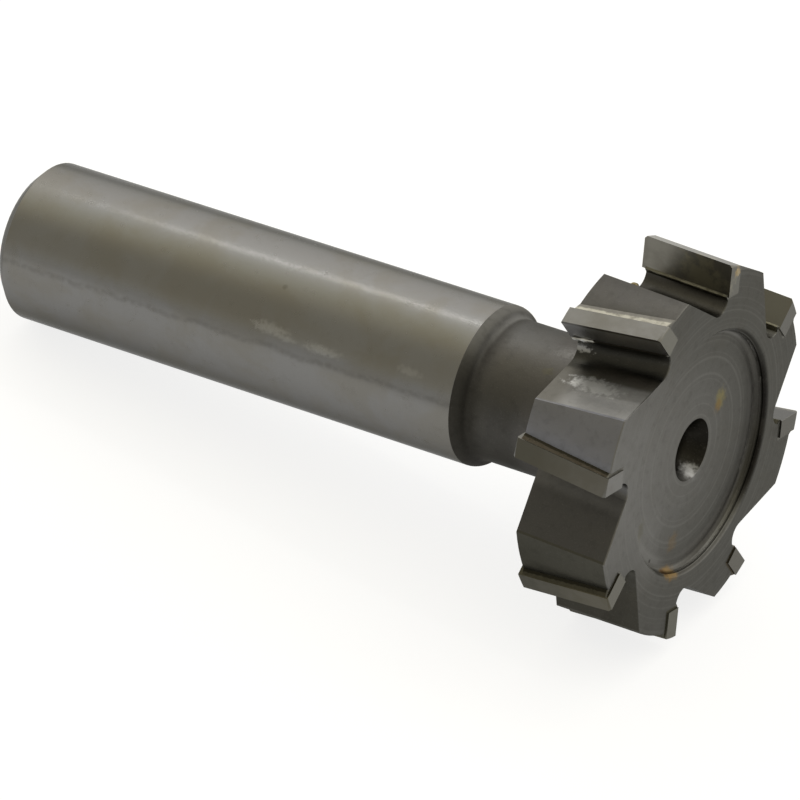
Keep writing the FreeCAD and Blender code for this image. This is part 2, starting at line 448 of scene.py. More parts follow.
LIGHT_AND_SHADE_AROUND_TEETH = (
    ToothLightAndShade((0.120, 0.118, 0.110), (0.085, 0.082, 0.074), (0.061, 0.058, 0.052)),
    ToothLightAndShade((0.085, 0.082, 0.078), (0.285, 0.282, 0.275), (0.043, 0.042, 0.038)),
    ToothLightAndShade((0.205, 0.208, 0.230), (0.080, 0.078, 0.077), (0.126, 0.124, 0.124)),
    ToothLightAndShade((0.070, 0.068, 0.057), (0.060, 0.057, 0.048), (0.045, 0.044, 0.037)),
    ToothLightAndShade((0.095, 0.092, 0.082), (0.080, 0.077, 0.068), (0.060, 0.058, 0.051)),
    ToothLightAndShade((0.110, 0.107, 0.096), (0.095, 0.091, 0.081), (0.066, 0.063, 0.056)),
    ToothLightAndShade((0.105, 0.102, 0.091), (0.100, 0.096, 0.086), (0.066, 0.063, 0.056)),
    ToothLightAndShade((0.100, 0.097, 0.087), (0.090, 0.087, 0.078), (0.062, 0.060, 0.053)),
)

# Light and shade in the round corner between the shank and the neck, and on the neck
NECK_ZONES = (
    # Light on the upper side of the round corner
    Zone((0.200, 0.197, 0.188), (62.7, 64.0), (7.0, 10.0), 12.0, 42.0, 0.95, 0.25,
         turn_edge=30.0),
    Zone((0.190, 0.187, 0.180), (63.9, 64.45), (7.0, 10.0), 40.0, 16.0, 0.85, 0.30,
         turn_edge=14.0),
    Zone((0.270, 0.268, 0.262), (64.05, 64.75), (7.0, 10.0), 4.0, 20.0, 0.90, 0.25,
         turn_edge=20.0),
    # Shade on the side of the third tooth, there and along the neck
    Zone((0.077, 0.074, 0.068), (62.7, 64.2), (7.0, 10.0), 100.0, 40.0, 0.9, 0.25,
         turn_edge=18.0),
    Zone((0.060, 0.058, 0.053), (62.0, 71.0), (7.0, 10.0), 112.0, 34.0, 0.85, 1.6,
         turn_edge=20.0),
    # Light along the top of the neck
    Zone((0.110, 0.109, 0.106), (65.0, 71.5), (7.0, 10.0), 4.0, 20.0, 0.85, 1.6,
         turn_edge=18.0),
)

# Painted light on the slope of the gullet under the second tip, painted shade at its back end and a band of
# painted light along its floor
GULLET_ZONES = (
    Zone((0.380, 0.375, 0.365), (83.0, 92.0), (17.7, 19.5), 61.0, 14.0, 0.8, 1.2, 0.4),
    Zone((0.120, 0.115, 0.103), (78.0, 81.8), (17.0, 21.2), 61.0, 14.0, 0.9, 1.4, 0.2),
    Zone((0.170, 0.156, 0.134), (82.0, 92.0), (16.3, 17.6), 54.0, 3.6, 0.9, 1.2, 0.3),
)

# Light and shade on the recess's floor, wall and rim, and in the centre hole
RECESS_ZONES = (
    # Light at the rim beside the first tooth, the shaded side of the wall, and the floor's ring
    Zone((0.300, 0.295, 0.285), (88.5, 90.2), (13.7, 14.6), 2.0, 26.0, 0.60, 0.1, 0.2, 14.0),
    Zone((0.072, 0.069, 0.062), (88.0, 90.1), (13.1, 16.0), -80.0, 42.0, 0.88, 0.1, 1.5, 18.0),
    Zone((0.168, 0.163, 0.152), (88.0, 89.1), (12.45, 13.35), -118.0, 52.0, 1.0, 0.05, 0.3, 20.0),
    # The wall's dark foot and middle, and its two black rims
    Zone((0.052, 0.050, 0.045), (88.9, 89.36), (13.5, 14.3), -115.0, 54.0, 1.0, 0.06, 0.14, 16.0),
    Zone((0.040, 0.038, 0.034), (89.36, 89.55), (13.9, 14.3), -85.0, 30.0, 0.90, 0.06, 0.14, 14.0),
    Zone((0.010, 0.009, 0.008), (89.78, 90.5), (13.5, 14.7), -86.0, 38.0, 0.95, 0.08, 0.4, 14.0),
    Zone((0.030, 0.029, 0.026), (90.02, 90.5), (13.5, 14.6), -34.0, 16.0, 0.90, 0.08, 0.3, 10.0),
    # Light lines along the wall and one dark rim
    Zone((0.280, 0.275, 0.260), (89.52, 89.80), (13.9, 14.3), -30.0, 14.0, 0.90, 0.04, 0.2, 10.0),
    Zone((0.250, 0.245, 0.230), (89.56, 89.80), (13.9, 14.3), -165.0, 36.0, 0.90, 0.04, 0.2, 14.0),
    Zone((0.060, 0.058, 0.052), (90.0, 90.5), (14.0, 14.45), -172.0, 36.0, 0.90, 0.05, 0.14,
         10.0),
    # Light on the floor and a glint on the rim beside the fourth tooth
    Zone((0.235, 0.232, 0.222), (88.5, 89.1), (12.5, 13.5), 146.0, 14.0, 0.60, 0.05, 0.4, 12.0),
    Zone((0.330, 0.326, 0.312), (90.0, 90.5), (14.1, 14.5), 141.0, 8.0, 0.70, 0.05, 0.15, 8.0),
    # The centre hole, dark with one lit side
    Zone((0.014, 0.013, 0.011), (60.0, 88.97), (-1.0, 3.9), edge=0.03, radius_edge=0.05),
    Zone((0.085, 0.083, 0.077), (87.6, 88.97), (2.0, 3.9), -178.0, 30.0, 0.95, 0.03, 0.5,
         16.0),
)

SILVER = (0.62, 0.62, 0.61)
PALE = (0.36, 0.358, 0.350)
RUST = (0.225, 0.155, 0.075)
OCHRE = (0.245, 0.216, 0.112)
OLIVE = (0.120, 0.112, 0.070)

BODY_MARKS = (
    # Pale scuffs along the shank and one dark dot
    Patch((38.2, 1.55, 9.40), 1.5, PALE, 0.60, (0.45, 1.7, 1.0), 2.0),
    Patch((40.6, 0.95, 9.47), 0.9, PALE, 0.45, (0.45, 1.9, 1.0), 2.2),
    Patch((45.4, 0.95, 9.47), 1.4, PALE, 0.55, (0.42, 1.8, 1.0), 2.0),
    Patch((57.0, 1.74, 9.35), 1.1, PALE, 0.35, (0.50, 1.6, 1.0), 1.8),
    Patch((38.2, 6.10, 7.31), 0.42, (0.130, 0.125, 0.110), 0.55),
    # Scuffs behind the second tooth and on the neck, and oil on the neck
    Patch((79.6, 11.6, 12.2), 0.9, PALE, 0.80, (0.50, 1.8, 1.5), 2.6, 1.2),
    Patch((73.3, 7.50, 3.60), 1.2, PALE, 0.10, (0.6, 1.5, 1.0), 2.6, 1.5),
    Patch((74.2, 7.80, 3.00), 1.0, PALE, 0.10, (0.6, 1.5, 1.0), 2.9, 1.5),
    Patch((72.6, 5.75, 6.04), 0.8, OLIVE, 0.35, (0.8, 1.2, 1.0), 2.4, 1.2),
    # Two bright silver patches on the slope of the gullet under the second tip
    Patch((83.4, 9.10, 15.8), 2.0, SILVER, 0.85, (0.60, 1.0, 1.2), 1.5, 1.1),
    Patch((85.4, 9.05, 16.1), 1.5, SILVER, 0.75, (0.60, 1.0, 1.3), 1.9, 1.2),
    # Ochre and rust in the front recess
    Patch((89.0, 5.15, -4.85), 1.40, OCHRE, 0.90, (1.0, 0.84, 0.92), 1.3, 0.7),
    Patch((89.0, 4.40, -4.55), 0.95, RUST, 0.70, (1.0, 0.85, 1.0), 1.6, 0.7),
    Patch((89.6, -14.0, 2.20), 1.9, RUST, 1.0, (0.8, 2.1, 0.75), 1.2, 0.6),
    Patch((89.4, -13.8, 3.15), 0.9, (0.120, 0.068, 0.034), 0.85, (0.8, 1.6, 1.0), 1.6, 0.6),
    Patch((89.0, -10.7, 1.14), 1.3, RUST, 0.35, (1.0, 0.9, 1.0), 1.5, 1.0),
    # Oil and a dark dot in the recess, painted light in the centre hole, and a patch of painted light on the
    # floor
    Patch((89.0, -7.70, 9.18), 1.4, OLIVE, 0.50, (1.0, 0.7, 1.6), 1.4, 1.0),
    Patch((89.0, -12.0, 5.98), 0.35, (0.030, 0.028, 0.022), 0.85),
    Patch((88.2, -3.05, -1.45), 1.5, (0.215, 0.213, 0.205), 0.95, (0.9, 1.2, 0.95), 1.7, 0.9),
    Patch((88.6, -3.25, -1.15), 0.6, PALE, 0.5, (0.9, 1.2, 0.95), 2.4, 0.9),
    Patch((89.0, -9.50, 8.00), 5.5, (0.235, 0.232, 0.222), 0.32, (1.0, 1.0, 1.0), 0.4, 0.4),
)


@dataclass(frozen=True)
class Unevenness:
    """Noises that the body's colour, gloss and bump share."""

    rings: Socket
    handling: Socket
    mottle: Socket
    grit: Socket

    @classmethod
    def on(cls, graph: Graph, point: Socket) -> "Unevenness":
        """Adds the noises to a finish."""
        return cls(
            rings=graph.noise(graph.stretched(point, (5.0, 0.10, 0.10)), 1.0, detail=2.0),
            handling=graph.noise(point, 0.13, detail=5.0, rough=0.62, bend=0.4),
            mottle=graph.noise(point, 0.9, detail=4.0, rough=0.6),
            grit=graph.noise(point, 5.0, detail=3.0, rough=0.6),
        )


@dataclass(frozen=True)
class BodySteel:
    """Finish of the steel body: ground shank, dull oxidised neck and head, stains and scuffs, and painted
    light and shade.
    """

    shank: Colour = (0.218, 0.216, 0.212)
    shank_warm: Colour = (0.205, 0.198, 0.182)
    shank_rings: Colour = (0.185, 0.182, 0.172)
    shank_smudge: Colour = (0.160, 0.154, 0.138)
    shank_roughness: float = 0.23
    shank_edge: float = 0.04
    # A painted dark reflection along the shank: its tone, place, wander, reach and strength
    line: Colour = (0.120, 0.116, 0.108)
    line_place: float = -0.62
    line_wander: float = 1.4
    line_reach: float = 0.60
    line_strength: float = 0.42
    neck: Colour = (0.098, 0.094, 0.090)
    head: Colour = (0.118, 0.116, 0.107)
    head_roughness: float = 0.40
    # Painted light on the front face's brighter side, then the tone of its turning marks
    face_painted_light: Colour = (0.198, 0.195, 0.187)
    face_turned: Colour = (0.300, 0.296, 0.280)
    # Centre and reach of the front face's painted light
    painted_light_centre: float = 22.0
    painted_light_reach: Limits = (8.0, 40.0)
    stain: Colour = (0.105, 0.098, 0.080)
    soot: Colour = (0.02, 0.019, 0.017)
    bare: Colour = (0.36, 0.355, 0.34)
    edge_tint: Colour = (0.45, 0.45, 0.44)
    bump_depth: float = 0.03
    marks: tuple[Patch, ...] = BODY_MARKS

    def build(self, tool: ToolFrame) -> bpy.types.Material:
        """Makes the material.

        Args:
            tool: Where the cutter lies.

        Returns:
            The finished material.
        """
        material, graph = start_material("ground_and_oxidised_steel_with_painted_light")
        places = Places(graph, tool)
        shank = graph.step(places.x, SIZES.shank_end + self.shank_edge, SIZES.shank_end - self.shank_edge)
        uneven = Unevenness.on(graph, places.point)
        ground = self.ground_colour(graph, places, uneven)
        dull = self.dull_colour(graph, places, uneven)
        colour = places.painted(graph.mix(shank, dull, ground), self.marks)
        roughness = graph.blend(shank, self.dull_roughness(graph, places, uneven),
                                self.ground_roughness(graph, uneven))
        height = graph.blend(shank, self.dull_height(graph, places, uneven),
                             graph.product(uneven.rings, 0.035))
        graph.metal(colour, roughness, graph.bump(height, self.bump_depth), self.edge_tint)
        return material

    def ground_roughness(self, graph: Graph, uneven: Unevenness) -> Socket:
        """Gloss of the shank, duller where hands and oil have been."""
        ground = graph.spread(uneven.rings, self.shank_roughness - 0.03, self.shank_roughness + 0.03)
        return graph.total(ground, graph.product(graph.step(uneven.mottle, 0.50, 0.80), 0.07))

    def dull_roughness(self, graph: Graph, places: Places, uneven: Unevenness) -> Socket:
        """Gloss of the neck and the head, dullest in the round corner at the shank."""
        dull = graph.spread(uneven.mottle, self.head_roughness - 0.08, self.head_roughness + 0.10)
        return graph.total(dull, graph.product(graph.step(places.x, 67.0, 64.5), 0.35))

    def dull_height(self, graph: Graph, places: Places, uneven: Unevenness) -> Socket:
        """Height of the grit and the pits, and of the turning marks on the front face.

        Args:
            graph: The finish's nodes.
            places: The finish's coordinates.
            uneven: The body's noises.

        Returns:
            The height, as a share of the bump's depth.
        """
        turned_face = graph.product(
            graph.step(places.x, SIZES.recess_floor - 0.2, SIZES.recess_floor - 0.1),
            graph.noise(places.turning_marks(), 1.0, detail=1.0))
        return graph.total(graph.product(uneven.grit, 0.35), graph.product(uneven.mottle, 0.9),
                           graph.product(turned_face, 0.5))

    def ground_colour(self, graph: Graph, places: Places, uneven: Unevenness) -> Socket:
        """Colour of the ground shank: faint grinding rings, handling marks and one dark line of painted
        reflection.

        Args:
            graph: The finish's nodes.
            places: The finish's coordinates.
            uneven: The body's noises.

        Returns:
            The colour.
        """
        colour = graph.mix(graph.step(uneven.handling, 0.38, 0.62), self.shank, self.shank_warm)
        colour = graph.mix(graph.spread(uneven.rings, 0.0, 0.15), colour, self.shank_rings)
        smudged = graph.product(graph.step(uneven.mottle, 0.52, 0.75), 0.20)
        colour = graph.mix(smudged, colour, self.shank_smudge)
        return graph.mix(self.painted_dark_reflection(graph, places), colour, self.line)

    def painted_dark_reflection(self, graph: Graph, places: Places) -> Socket:
        """Share of the painted dark reflection that wanders along the shank's upper side.

        Args:
            graph: The finish's nodes.
            places: The finish's coordinates.

        Returns:
            The line's share at each point.
        """
        wobble = graph.noise(graph.stretched(places.point, (0.22, 0.1, 0.1)), 1.0, detail=2.5)
        ragged = graph.noise(places.point, 1.6, detail=3.0)
        middle = graph.product(graph.math("SUBTRACT", wobble, 0.5), self.line_wander)
        across = graph.math("SUBTRACT", graph.total(places.y, -self.line_place), middle)
        line = graph.product(graph.step(graph.math("ABSOLUTE", across), self.line_reach, 0.05),
                             graph.step(places.z, 4.0, 6.0), graph.step(ragged, 0.20, 0.65))
        return graph.product(line, self.line_strength)

    def dull_colour(self, graph: Graph, places: Places, uneven: Unevenness) -> Socket:
        """Colour of the neck and the head, with painted light and shade tooth by tooth, in the corner at the
        shank, in the gullets and in the recess.

        Args:
            graph: The finish's nodes.
            places: The finish's coordinates.
            uneven: The body's noises.

        Returns:
            The colour.
        """
        neck = graph.step(places.x, SIZES.neck_end, SIZES.neck_end - 1.0)
        colour = places.painted(graph.mix(neck, self.head, self.neck), NECK_ZONES)
        # Painted light and shade around each tooth
        for index, steel in enumerate(LIGHT_AND_SHADE_AROUND_TEETH):
            colour = places.painted(colour, steel.zones(index * 360 / SIZES.tooth_count))
        colour = self.face_colour(graph, places, places.painted(colour, GULLET_ZONES))
        colour = places.painted(colour, RECESS_ZONES)
        stained = graph.product(graph.step(uneven.handling, 0.40, 0.66), 0.16)
        colour = graph.mix(stained, colour, self.stain)
        dark = graph.mix(0.55, colour, self.soot)
        colour = graph.mix(graph.product(graph.step(uneven.mottle, 0.50, 0.72), 0.22), colour, dark)
        pale = graph.mix(0.35, colour, self.bare)
        return graph.mix(graph.product(graph.step(uneven.grit, 0.56, 0.76), 0.22), colour, pale)

    def face_colour(self, graph: Graph, places: Places, around: Socket) -> Socket:
        """Adds the front face and the recess's floor, brighter at one side as painted light, with turning
        marks.

        Args:
            graph: The finish's nodes.
            places: The finish's coordinates.
            around: Colour of the rest of the head.

        Returns:
            The colour.
        """
        front = graph.step(places.x, SIZES.head_front - 0.25, SIZES.head_front - 0.05)
        recess = graph.product(
            graph.step(places.x, SIZES.recess_floor - 0.15, SIZES.recess_floor - 0.05),
            graph.step(places.radius, SIZES.recess_radius + 0.1, SIZES.recess_radius))
        face = graph.math("MAXIMUM", front, recess)
        # Painted light, fading with the distance from one side of the face
        away = graph.combined(graph.product(places.y, 2.0),
                              graph.math("SUBTRACT", places.z, self.painted_light_centre))
        near, far = self.painted_light_reach
        bright = graph.mix(graph.step(graph.length(away), far, near), self.head, self.face_painted_light)
        colour = graph.mix(face, around, bright)
        turned = graph.noise(places.turning_marks(), 1.6, detail=2.0)
        shine = graph.product(face, graph.step(turned, 0.48, 0.70), 0.20)
        return graph.mix(shine, colour, self.face_turned)


@dataclass(frozen=True)
class CarbideFinish:
    """Finish of one carbide tip, from its rear end to its front, in tones that are partly painted light and
    shade.
    """

    rear: Colour = (0.165, 0.160, 0.145)
    front: Colour = (0.175, 0.170, 0.155)
    smear: Colour = (0.110, 0.103, 0.086)
    smear_share: float = 0.30
    rake: Colour | None = None
    end: Colour | None = None
    roughness: float = 0.33
    bump_depth: float = 0.008
    marks: tuple[Patch, ...] = ()

    def build(self, tool: ToolFrame, name: str) -> bpy.types.Material:
        """Makes the material.

        Args:
            tool: Where the cutter lies.
            name: The tip's number or name.

        Returns:
            The finished material.
        """
        material, graph = start_material(f"carbide_{name}")
        places = Places(graph, tool)
        cloud = graph.noise(places.point, 0.45, detail=4.0, rough=0.55)
        grain = graph.noise(places.point, 7.0, detail=3.0, rough=0.6)
        wheel = graph.noise(graph.stretched(places.point, (0.4, 9.0, 9.0)), 1.0, detail=2.0)
        ahead = graph.step(places.x, SIZES.tip_back + 1.0, SIZES.tip_front - 1.0)
        colour = graph.mix(ahead, self.rear, self.front)
        smeared = graph.product(graph.step(cloud, 0.40, 0.65), self.smear_share)
        colour = graph.mix(smeared, colour, self.smear)
        colour = graph.mix(graph.spread(wheel, 0.0, 0.15), colour, self.smear)
        # A separate tone on the rake side: painted light on the second tip and painted shade on the seventh
        if self.rake is not None:
            inner = graph.product(graph.step(places.radius, 21.80, 21.60),
                                  graph.step(places.x, SIZES.tip_front - 0.02, SIZES.tip_front - 0.10))
            colour = graph.mix(inner, colour, self.rake)
        if self.end is not None:
            end = graph.step(places.x, SIZES.tip_front - 0.08, SIZES.tip_front - 0.03)
            colour = graph.mix(end, colour, self.end)
        colour = places.painted(colour, self.marks)
        roughness = graph.spread(grain, self.roughness - 0.06, self.roughness + 0.08)
        height = graph.total(graph.product(wheel, 0.4), graph.product(grain, 0.25))
        graph.metal(colour, roughness, graph.bump(height, self.bump_depth))
        return material


@dataclass(frozen=True)
class FillerFinish:
    """Finish of one tip's brazing filler, with patches of dark flux, a dark band near the body's land, and
    painted shade on its inner part.
    """

    colour: Colour = (0.200, 0.190, 0.150)
    flux: Colour = (0.095, 0.088, 0.065)
    flux_share: float = 0.75
    groove: Colour = (0.020, 0.018, 0.012)
    groove_share: float = 0.0
    # Painted shade on the inner part of the filler, towards the gullet, and its share
    inner_shade: Colour = (0.022, 0.020, 0.016)
    inner_shade_share: float = 0.0
    end: Colour = (0.120, 0.116, 0.100)
    roughness: float = 0.42
    bump_depth: float = 0.05

    def build(self, tool: ToolFrame, name: str) -> bpy.types.Material:
        """Makes the material.

        Args:
            tool: Where the cutter lies.
            name: The tooth's number, or the name of what the filler makes.

        Returns:
            The finished material.
        """
        material, graph = start_material(f"brazing_filler_{name}")
        places = Places(graph, tool)
        cloud = graph.noise(places.point, 0.9, detail=5.0, rough=0.6)
        lumps = graph.noise(places.point, 2.6, detail=4.0, rough=0.6)
        fluxed = graph.product(graph.step(cloud, 0.42, 0.62), self.flux_share)
        colour = graph.mix(fluxed, self.colour, self.flux)
        reach = graph.total(places.radius, graph.product(graph.math("SUBTRACT", lumps, 0.5), 0.3))
        beside = graph.product(graph.step(reach, 21.62, 21.50), graph.step(places.radius, 20.8, 21.2))
        colour = graph.mix(graph.product(beside, self.groove_share), colour, self.groove)
        # Painted shade on the inner part of the filler
        inner_shade = graph.product(graph.step(places.radius, 19.6, 19.0), self.inner_shade_share)
        colour = graph.mix(inner_shade, colour, self.inner_shade)
        end = graph.step(places.x, SIZES.tip_front - 0.45, SIZES.tip_front - 0.30)
        colour = graph.mix(end, colour, self.end)
        roughness = graph.spread(lumps, self.roughness - 0.08, self.roughness + 0.15)
        graph.metal(colour, roughness, graph.bump(lumps, self.bump_depth))
        return material


# A smear and a scorch mark on the first tip, and a painted sheen at the rear of the second tip
SMEAR = Patch((86.8, 20.0, -0.2), 2.6, (0.300, 0.280, 0.200), 0.65, (0.60, 0.85, 2.2), 0.8, 1.2)
SCORCH = Patch((90.5, 21.3, -0.9), 0.8, (0.330, 0.240, 0.120), 0.9, (1.0, 1.0, 1.0), 2.2, 0.8)
SHEEN = Patch((79.2, 13.6, 13.9), 3.9, (0.190, 0.188, 0.185), 0.9, (1.0, 0.9, 0.9), 0.5, 0.4)

# The tips' tones tooth by tooth, partly painted light and shade
CARBIDES = (
    CarbideFinish(rear=(0.250, 0.242, 0.214), front=(0.150, 0.144, 0.125),
                  end=(0.118, 0.114, 0.097), marks=(SMEAR, SCORCH)),
    CarbideFinish(rear=(0.152, 0.147, 0.134), front=(0.185, 0.182, 0.176),
                  rake=(0.440, 0.443, 0.455), end=(0.144, 0.139, 0.115), marks=(SHEEN,)),
    CarbideFinish(rear=(0.114, 0.111, 0.098), front=(0.168, 0.165, 0.156)),
    CarbideFinish(rear=(0.048, 0.045, 0.030), front=(0.086, 0.078, 0.052),
                  end=(0.125, 0.120, 0.098)),
    CarbideFinish(rear=(0.095, 0.092, 0.072), front=(0.108, 0.104, 0.079)),
    CarbideFinish(rear=(0.095, 0.090, 0.076), front=(0.103, 0.097, 0.078)),
    CarbideFinish(rear=(0.050, 0.049, 0.044), front=(0.095, 0.091, 0.077),
                  rake=(0.045, 0.044, 0.040)),
    CarbideFinish(rear=(0.102, 0.099, 0.095), front=(0.112, 0.109, 0.096)),
)

# The filler's tones tooth by tooth, partly painted light and shade
FILLERS = (
    FillerFinish(colour=(0.170, 0.162, 0.126)),
    FillerFinish(colour=(0.410, 0.394, 0.330), flux=(0.190, 0.180, 0.148), flux_share=0.8,
                 groove=(0.140, 0.134, 0.118), groove_share=0.85, inner_shade_share=0.95),
    FillerFinish(colour=(0.062, 0.053, 0.040), flux=(0.050, 0.042, 0.030), groove_share=0.95),
    FillerFinish(colour=(0.060, 0.055, 0.038), flux=(0.045, 0.041, 0.028), groove_share=0.97),
    FillerFinish(colour=(0.100, 0.092, 0.060), flux=(0.050, 0.045, 0.030), groove_share=0.6,
                 end=(0.075, 0.071, 0.048)),
    FillerFinish(colour=(0.110, 0.075, 0.042), flux=(0.045, 0.036, 0.024), groove_share=0.5,
                 end=(0.085, 0.070, 0.045)),
    FillerFinish(colour=(0.190, 0.180, 0.128), flux=(0.130, 0.122, 0.085)),
    FillerFinish(colour=(0.150, 0.140, 0.100), flux=(0.060, 0.056, 0.042), groove_share=0.2),
)
# Bright filler that paints a glint, for the short bead at the second tip's rake foot
PAINTED_GLINT = FillerFinish(colour=(0.62, 0.62, 0.61), flux=(0.30, 0.30, 0.29), flux_share=0.6)
DROP_FILLER = FillerFinish(colour=(0.36, 0.31, 0.20), flux=(0.25, 0.20, 0.11), flux_share=0.7,
                           end=(0.33, 0.27, 0.16))


# Width of the worn edges in millimetres
BODY_WEAR = 0.15
TIP_WEAR = 0.10


def soften(node: bpy.types.Object, width: float) -> None:
    """Rounds the sharp edges of a node, as wear and handling do.

    Args:
        node: The node.
        width: Width of the rounding in millimetres.
    """
    weld = node.modifiers.new("weld", "WELD")
    weld.merge_threshold = 0.001 * MM
    bevel = node.modifiers.new("worn_edges", "BEVEL")
    bevel.width = width * MM
    bevel.segments = 2
    bevel.limit_method = "ANGLE"
    bevel.angle_limit = math.radians(32)
    bevel.harden_normals = False


def dress(node: bpy.types.Object, material: bpy.types.Material) -> None:
    """Puts a finish in every material slot of an object.

    Args:
        node: The object.
        material: The finish.
    """
    if not node.material_slots:
        node.data.materials.append(material)
    for slot in node.material_slots:
        slot.link = "OBJECT"
        slot.material = material


def add_object(name: str, mesh: bmesh.types.BMesh, material: bpy.types.Material) -> bpy.types.Object:
    """Makes an object of a mesh that is already in the row frame.

    Args:
        name: The object's name.
        mesh: The mesh, which is freed.
        material: The object's finish.

    Returns:
        The object, in the scene.
    """
    data = bpy.data.meshes.new(name)
    mesh.to_mesh(data)
    mesh.free()
    made = bpy.data.objects.new(name, data)
    bpy.context.scene.collection.objects.link(made)
    data.materials.append(material)
    return made


def add_piece(name: str, mesh: bmesh.types.BMesh, material: bpy.types.Material) -> bpy.types.Object:
    """Makes a smooth piece of filler that rides on the cutter.

    Args:
        name: The piece's name.
        mesh: The mesh, in the row frame, which is freed.
        material: The filler's finish.

    Returns:
        The piece.
    """
    piece = add_object(name, mesh, material)
    for polygon in piece.data.polygons:
        polygon.use_smooth = True
    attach(piece, "root")
    return piece


@dataclass(frozen=True)
class Bead:
    """Lumpy strip of filler along one edge of a tip, in the frame of its tooth."""

    name: str
    tooth: int
    start: Place
    end: Place
    half_width: float
    half_height: float
    finish: FillerFinish | None = None
    unevenness: float = 0.25
    swells_per_mm: float = 0.9
    pitting: float = 0.25
    pits: float = 1.6
    end_size: float = 0.25
    end_power: int = 8
    tooth_seed: float = 7.0
    sides: int = 12
    rings_per_mm: float = 5.0

    def build(self, tool: ToolFrame, material: bpy.types.Material) -> bpy.types.Object:
        """Makes the bead.

        Args:
            tool: Where the cutter lies.
            material: The filler's finish.

        Returns:
            The bead's object.
        """
        start, end = Vector(self.start), Vector(self.end)
        run = end - start
        mesh = bmesh.new()
        bmesh.ops.create_cone(mesh, cap_ends=True, segments=self.sides, radius1=1.0, radius2=1.0,
                              depth=run.length)
        long_edges = [edge for edge in mesh.edges if edge.calc_length() > 0.9 * run.length]
        bmesh.ops.subdivide_edges(mesh, edges=long_edges, cuts=int(run.length * self.rings_per_mm))
        for vertex in mesh.verts:
            size = self.size_at(vertex.co, run.length)
            vertex.co.x *= self.half_height * size
            vertex.co.y *= self.half_width * size
        across = Vector((0, 0, 1))
        out = across.cross(run.normalized())
        turn = Matrix((out, across, run.normalized())).transposed().to_4x4()
        placed = tool.tooth(self.tooth) @ Matrix.Translation((start + end) / 2) @ turn
        bmesh.ops.transform(mesh, matrix=placed, verts=mesh.verts)
        return add_piece(self.name, mesh, material)

    def size_at(self, point: Vector, length: float) -> float:
        """Size of the bead's section at a point, against its plain size.

        Args:
            point: A point of the plain bead.
            length: The bead's length.

        Returns:
            The factor, with its swells, its pits and its taper at the ends.
        """
        seed = Vector((point.z * self.swells_per_mm, self.tooth * self.tooth_seed, 0.0))
        swell = 1 + self.unevenness * 2 * lattice.noise(seed)
        taper = max(self.end_size, 1 - (2 * abs(point.z / length)) ** self.end_power)
        pit = 1 + self.pitting * lattice.noise(point * self.pits + Vector((self.tooth, 0, 0)))
        return swell * taper * pit


@dataclass(frozen=True)
class Drop:
    """Rounded drop of filler at one place of the cutter's own frame."""

    name: str
    place: Place
    radii: Place
    seed: float = 0.0
    unevenness: float = 0.35
    lumps: float = 1.3

    def build(self, tool: ToolFrame, material: bpy.types.Material) -> bpy.types.Object:
        """Makes the drop.

        Args:
            tool: Where the cutter lies.
            material: The filler's finish.

        Returns:
            The drop's object.
        """
        mesh = bmesh.new()
        bmesh.ops.create_icosphere(mesh, subdivisions=3, radius=1.0)
        for vertex in mesh.verts:
            lump = lattice.noise(vertex.co * self.lumps + Vector((self.seed, 0, 0)))
            vertex.co *= 1 + self.unevenness * lump
        placed = tool.matrix() @ Matrix.Translation(self.place) @ Matrix.Diagonal((*self.radii, 1.0))
        bmesh.ops.transform(mesh, matrix=placed, verts=mesh.verts)
        return add_piece(self.name, mesh, material)


# Two filler beads, and a short bright bead whose colour is a painted glint on the second tip's rake foot
BEADS = (
    Bead("rake_bead_1", 1, (-5.4, 18.40, -0.40), (5.7, 18.40, -0.40), 0.14, 0.16),
    Bead("rake_bead_8", 8, (-5.4, 18.40, -0.40), (5.7, 18.40, -0.40), 0.14, 0.16),
    Bead("rake_glint_2", 2, (-5.8, 18.45, -0.30), (-3.0, 18.28, -0.46), 0.22, 0.30,
         finish=PAINTED_GLINT, unevenness=0.8),
)

DROPS = (
    Drop("corner_drop_1", (90.40, 21.15, -0.95), (0.14, 0.62, 0.55), 1.0),
    Drop("gullet_drop_1", (79.30, 16.75, 1.45), (0.62, 0.50, 0.50), 2.0),
)


@dataclass
class Cutter:
    """The whole cutter: steel body, carbide tips and their filler."""

    tool: ToolFrame = field(default_factory=ToolFrame.from_frame)

    def build(self) -> list[bpy.types.Object]:
        """Dresses the CAD nodes and adds the beads and the drops.

        Returns:
            The pieces of the cutter.
        """
        fillers = [filler.build(self.tool, str(number)) for number, filler in enumerate(FILLERS, start=1)]
        pieces = [self.body()]
        for number, (carbide, filler) in enumerate(zip(CARBIDES, fillers), start=1):
            pieces += [self.tip(number, carbide), self.seam(number, filler)]
        for bead in BEADS:
            material = fillers[bead.tooth - 1]
            if bead.finish is not None:
                material = bead.finish.build(self.tool, bead.name)
            pieces.append(bead.build(self.tool, material))
        brass = DROP_FILLER.build(self.tool, "drops")
        return pieces + [drop.build(self.tool, brass) for drop in DROPS]

    def body(self) -> bpy.types.Object:
        """Dresses the steel body.

        Returns:
            The body.
        """
        body = frame["nodes"]["cutter_body"]
        dress(body, BodySteel().build(self.tool))
        soften(body, BODY_WEAR)
        return body

    def tip(self, number: int, carbide: CarbideFinish) -> bpy.types.Object:
        """Dresses one carbide tip.

        Args:
            number: The tooth's number.
            carbide: The tip's finish.

        Returns:
            The tip.
        """
        tip = frame["nodes"][f"carbide_tip_{number}"]
        dress(tip, carbide.build(self.tool, str(number)))
        soften(tip, TIP_WEAR)
        return tip

    def seam(self, number: int, filler: bpy.types.Material) -> bpy.types.Object:
        """Dresses the filler behind and under one tip.

        Args:
            number: The tooth's number.
            filler: The filler's material.

        Returns:
            The seam.
        """
        seam = frame["nodes"][f"braze_seam_{number}"]
        dress(seam, filler)
        return seam


